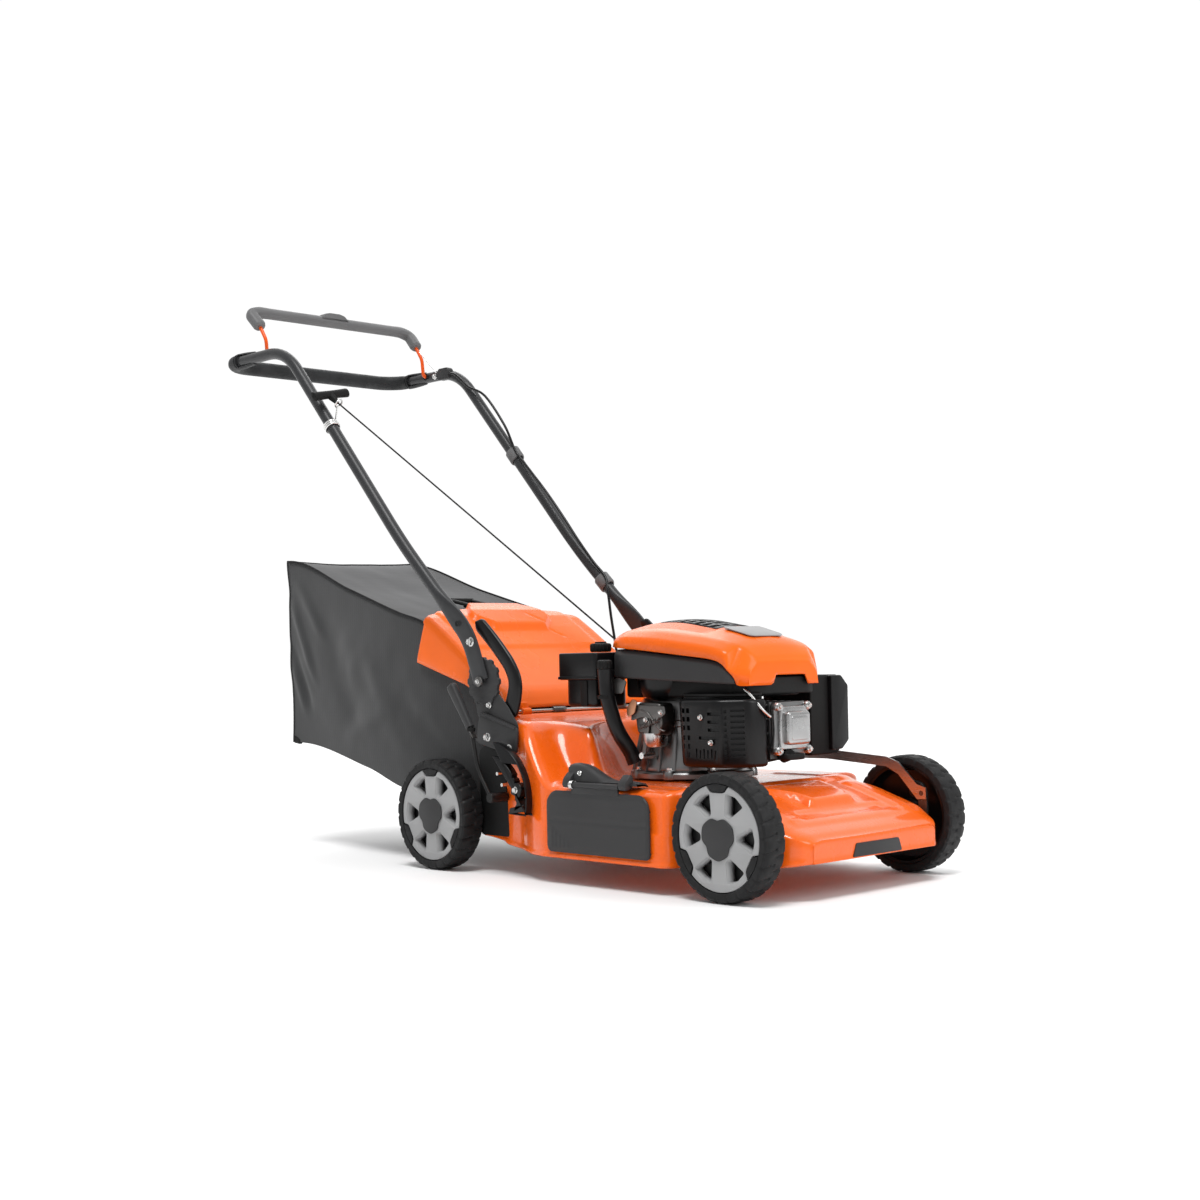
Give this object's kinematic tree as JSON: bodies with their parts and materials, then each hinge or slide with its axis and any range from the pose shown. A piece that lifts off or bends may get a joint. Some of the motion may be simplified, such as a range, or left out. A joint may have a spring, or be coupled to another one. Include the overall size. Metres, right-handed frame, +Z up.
{
  "type": "push lawn mower",
  "caption": "Walk-behind rotary lawn mower with a petrol engine, rear grass bag, side discharge cover, height lever and folding handle with a bail.",
  "frame": {"origin": "on the ground, at the centre of the whole machine's box in X and Y", "axes": "+X forward, +Y to the left of a person behind the handle, +Z up"},
  "size_m": [1.47, 0.49, 1.088],
  "materials": {
    "paint": "gloss orange paint on pressed steel",
    "orange_plastic": "orange moulded plastic",
    "grey_plastic": "dark grey moulded plastic",
    "black_plastic": "black moulded plastic",
    "tyre": "black rubber tread",
    "rim": "light silver-grey moulded plastic",
    "steel": "bare plated steel",
    "cast": "die-cast aluminium",
    "handle_tube": "dark grey coated tube",
    "bail_coat": "orange coated wire",
    "fabric": "dark grey woven cloth",
    "grip_rubber": "soft black foam grip"
  },
  "bodies": {
    "chassis": {"deck_shell": "paint", "front_insert": "grey_plastic", "side_cover_hinge": "grey_plastic", "rear_flap_rod": "steel", "height_quadrant": "black_plastic", "handle_bracket_left": "grey_plastic", "handle_bracket_right": "grey_plastic", "crankcase": "cast", "cylinder": "cast", "cylinder_shroud": "black_plastic", "valve_cover": "cast", "muffler_guard": "black_plastic", "muffler": "steel", "fuel_tank": "black_plastic", "oil_filler_tube": "black_plastic", "engine_hood": "orange_plastic", "hood_grille": "black_plastic", "blower_housing": "grey_plastic"},
    "front_axle": {"front_axle": "steel"},
    "rear_axle": {"rear_axle": "steel"},
    "height_link": {"height_link": "steel"},
    "height_lever": {"height_lever": "steel", "height_lever_grip": "grey_plastic"},
    "side_cover": {"side_discharge_cover": "grey_plastic"},
    "rear_flap": {"rear_flap": "orange_plastic"},
    "grass_bag": {"grass_bag": "fabric"},
    "lock_lever_left": {"lock_lever_left": "black_plastic"},
    "lock_lever_right": {"lock_lever_right": "black_plastic"},
    "knob_left": {"handle_knob_left": "black_plastic"},
    "knob_right": {"handle_knob_right": "black_plastic"},
    "handle": {"handle_arm_left": "handle_tube", "handle_arm_right": "handle_tube", "handle_crossbar": "handle_tube", "handle_grip": "grip_rubber", "cable_end_box": "black_plastic", "cable_clip_upper": "black_plastic", "cable_clip_lower": "black_plastic", "rope_guide": "steel", "bail_cable": "black_plastic", "starter_rope": "black_plastic"},
    "bail": {"bail_wire": "bail_coat", "bail_bar": "grey_plastic"},
    "starter_grip": {"starter_grip": "black_plastic"},
    "fuel_cap": {"fuel_cap": "black_plastic"},
    "oil_dipstick": {"oil_dipstick": "black_plastic"},
    "blade_rotor": {"crankshaft": "steel", "blade": "steel", "blade_bolt": "steel"},
    "wheel_front_left": {"tyre_front_left": "tyre", "rim_front_left": "rim", "wheel_cap_front_left": "grey_plastic"},
    "wheel_front_right": {"tyre_front_right": "tyre", "rim_front_right": "rim", "wheel_cap_front_right": "grey_plastic"},
    "wheel_rear_left": {"tyre_rear_left": "tyre", "rim_rear_left": "rim", "wheel_cap_rear_left": "grey_plastic"},
    "wheel_rear_right": {"tyre_rear_right": "tyre", "rim_rear_right": "rim", "wheel_cap_rear_right": "grey_plastic"}
  },
  "joints": [
    {"name": "rear_height", "type": "hinge", "parent": "chassis", "child": "rear_axle", "pos_m": [0.008, 0, 0.08], "axis": [0, -1, 0], "range_deg": [0, 40]},
    {"name": "front_height", "type": "hinge", "parent": "chassis", "child": "front_axle", "pos_m": [0.678, 0, 0.08], "axis": [0, -1, 0], "range_deg": [0, 40]},
    {"name": "link_swing", "type": "hinge", "parent": "rear_axle", "child": "height_link", "pos_m": [0.008, 0.1925, 0.131], "axis": [0, -1, 0], "range_deg": [-40, 0]},
    {"name": "lever_swing", "type": "hinge", "parent": "chassis", "child": "height_lever", "pos_m": [0.118, -0.236, 0.13], "axis": [0, -1, 0], "range_deg": [0, 20]},
    {"name": "wheel_spin_front_left", "type": "hinge", "parent": "front_axle", "child": "wheel_front_left", "pos_m": [0.633, 0.222, 0.095], "axis": [0, 1, 0], "continuous": true},
    {"name": "wheel_spin_front_right", "type": "hinge", "parent": "front_axle", "child": "wheel_front_right", "pos_m": [0.633, -0.222, 0.095], "axis": [0, 1, 0], "continuous": true},
    {"name": "wheel_spin_rear_left", "type": "hinge", "parent": "rear_axle", "child": "wheel_rear_left", "pos_m": [-0.037, 0.222, 0.095], "axis": [0, 1, 0], "continuous": true},
    {"name": "wheel_spin_rear_right", "type": "hinge", "parent": "rear_axle", "child": "wheel_rear_right", "pos_m": [-0.037, -0.222, 0.095], "axis": [0, 1, 0], "continuous": true},
    {"name": "side_cover_hinge", "type": "hinge", "parent": "chassis", "child": "side_cover", "pos_m": [0.373, -0.239, 0.16], "axis": [-1, 0, 0], "range_deg": [0, 85], "stiffness_Nm_per_rad": 0.05, "springref_deg": -22.92},
    {"name": "rear_flap_hinge", "type": "hinge", "parent": "chassis", "child": "rear_flap", "pos_m": [0.111, 0, 0.2705], "axis": [0, 1, 0], "range_deg": [0, 30]},
    {"name": "bag_slide", "type": "slide", "parent": "chassis", "child": "grass_bag", "axis": [-1, 0, 0], "range_m": [0, 0.6]},
    {"name": "lock_lever_left_swing", "type": "hinge", "parent": "chassis", "child": "lock_lever_left", "pos_m": [0.123, 0.199, 0.27], "axis": [0, 1, 0], "range_deg": [0, 50]},
    {"name": "lock_lever_right_swing", "type": "hinge", "parent": "chassis", "child": "lock_lever_right", "pos_m": [0.123, -0.199, 0.27], "axis": [0, 1, 0], "range_deg": [0, 50]},
    {"name": "handle_knob_left_turn", "type": "hinge", "parent": "chassis", "child": "knob_left", "pos_m": [0.073, 0.225, 0.323], "axis": [0, 1, 0], "range_deg": [0, 180]},
    {"name": "handle_knob_right_turn", "type": "hinge", "parent": "chassis", "child": "knob_right", "pos_m": [0.073, -0.225, 0.323], "axis": [0, 1, 0], "range_deg": [0, 180]},
    {"name": "handle_fold", "type": "hinge", "parent": "chassis", "child": "handle", "pos_m": [0.073, 0, 0.323], "axis": [0, 1, 0], "range_deg": [0, 128], "deforming": ["bail_cable", "starter_rope"]},
    {"name": "bail_hinge", "type": "hinge", "parent": "handle", "child": "bail", "pos_m": [-0.595, 0, 0.971], "axis": [0, -1, 0], "range_deg": [0, 45], "stiffness_Nm_per_rad": 1, "springref_deg": -34.38},
    {"name": "starter_grip_pull", "type": "slide", "parent": "handle", "child": "starter_grip", "axis": [-0.67, 0, 0.7424], "range_m": [0, 0.5], "stiffness_N_per_m": 15, "springref_m": -0.3},
    {"name": "fuel_cap_turn", "type": "hinge", "parent": "chassis", "child": "fuel_cap", "pos_m": [0.248, -0.1, 0.375], "axis": [0, 0, 1], "range_deg": [0, 120]},
    {"name": "oil_dipstick_turn", "type": "hinge", "parent": "chassis", "child": "oil_dipstick", "pos_m": [0.3, -0.142, 0.348], "axis": [0, 0, 1], "range_deg": [0, 180]},
    {"name": "blade_spin", "type": "hinge", "parent": "chassis", "child": "blade_rotor", "pos_m": [0.338, 0, 0.058], "axis": [0, 0, 1], "continuous": true}
  ],
  "couplings": [
    {"joint": "front_height", "follows": "rear_height", "ratio": 1},
    {"joint": "link_swing", "follows": "rear_height", "ratio": -1},
    {"joint": "lever_swing", "follows": "rear_height", "ratio": 0.5}
  ]
}
